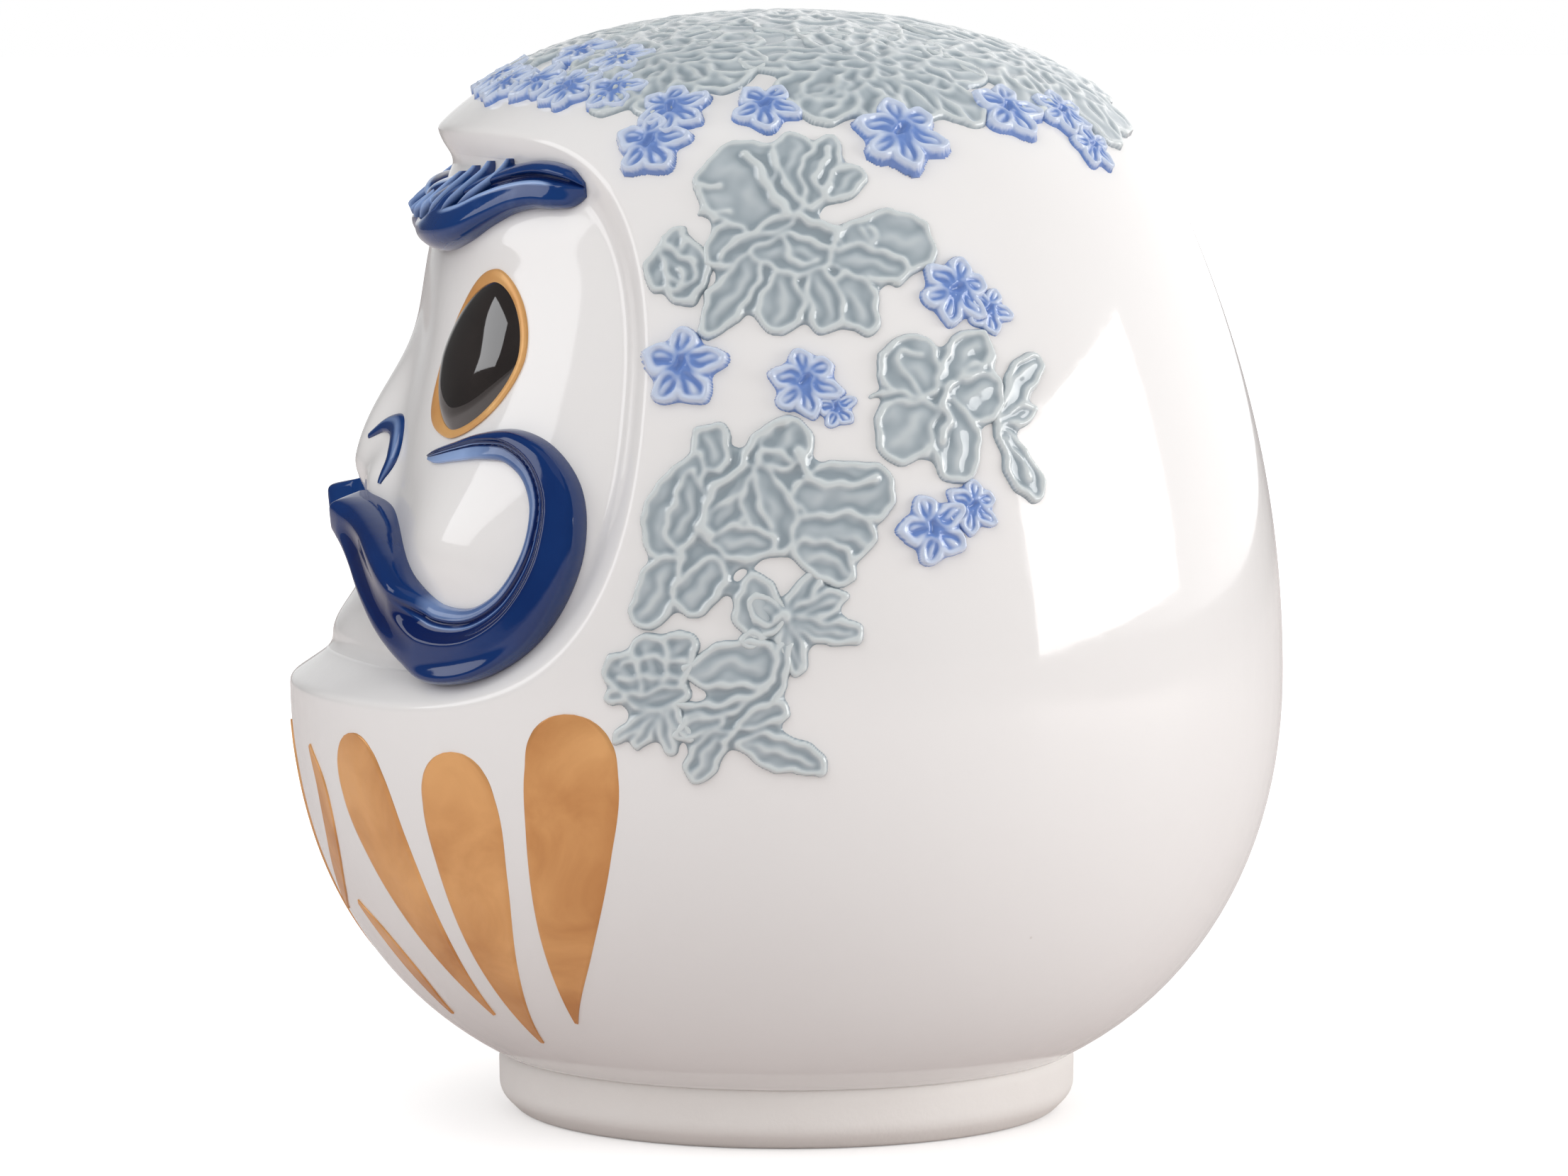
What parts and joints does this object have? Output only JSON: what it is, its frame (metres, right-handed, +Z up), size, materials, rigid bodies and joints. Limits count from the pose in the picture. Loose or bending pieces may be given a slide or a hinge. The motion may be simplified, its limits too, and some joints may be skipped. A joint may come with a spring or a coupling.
{
  "type": "daruma doll",
  "caption": "Round glazed porcelain good-luck figure on a foot ring, with a recessed face, relief brows and moustache, gilded petals and raised flowers.",
  "frame": {"origin": "middle of the foot ring, on the surface the doll stands on", "axes": "+Z up the doll's axis, the face looks along -Y, the doll's left hand side is +X"},
  "size_m": [0.1848, 0.1819, 0.2018],
  "materials": {
    "white_glaze": "gloss",
    "biscuit": "satin",
    "cobalt_glaze": "gloss",
    "black_glaze": "gloss",
    "gilding": "satin",
    "celadon_glaze": "gloss",
    "blue_glaze": "gloss"
  },
  "bodies": {
    "root": {"body_shell": "white_glaze", "face_mask": "white_glaze", "foot_ring": "biscuit", "base_disc": "biscuit", "brow_left": "cobalt_glaze", "brow_right": "cobalt_glaze", "eye_left": "black_glaze", "eye_right": "black_glaze", "eye_rim_left": "gilding", "eye_rim_right": "gilding", "nostril_left": "cobalt_glaze", "nostril_right": "cobalt_glaze", "moustache_left": "cobalt_glaze", "moustache_right": "cobalt_glaze", "gold_petals_left": "gilding", "gold_petals_right": "gilding", "gold_crest": "gilding", "high_peony_left": "celadon_glaze", "high_peony_right": "celadon_glaze", "low_peony_left": "celadon_glaze", "low_peony_right": "celadon_glaze", "camellia_left": "celadon_glaze", "camellia_right": "celadon_glaze", "chrysanthemum_left": "celadon_glaze", "chrysanthemum_right": "celadon_glaze", "daisy_left": "celadon_glaze", "daisy_right": "celadon_glaze", "leaves_left": "celadon_glaze", "leaves_right": "celadon_glaze", "blossoms_left": "blue_glaze", "blossoms_right": "blue_glaze", "crown_flowers": "celadon_glaze", "crown_blossoms": "blue_glaze"}
  },
  "joints": []
}
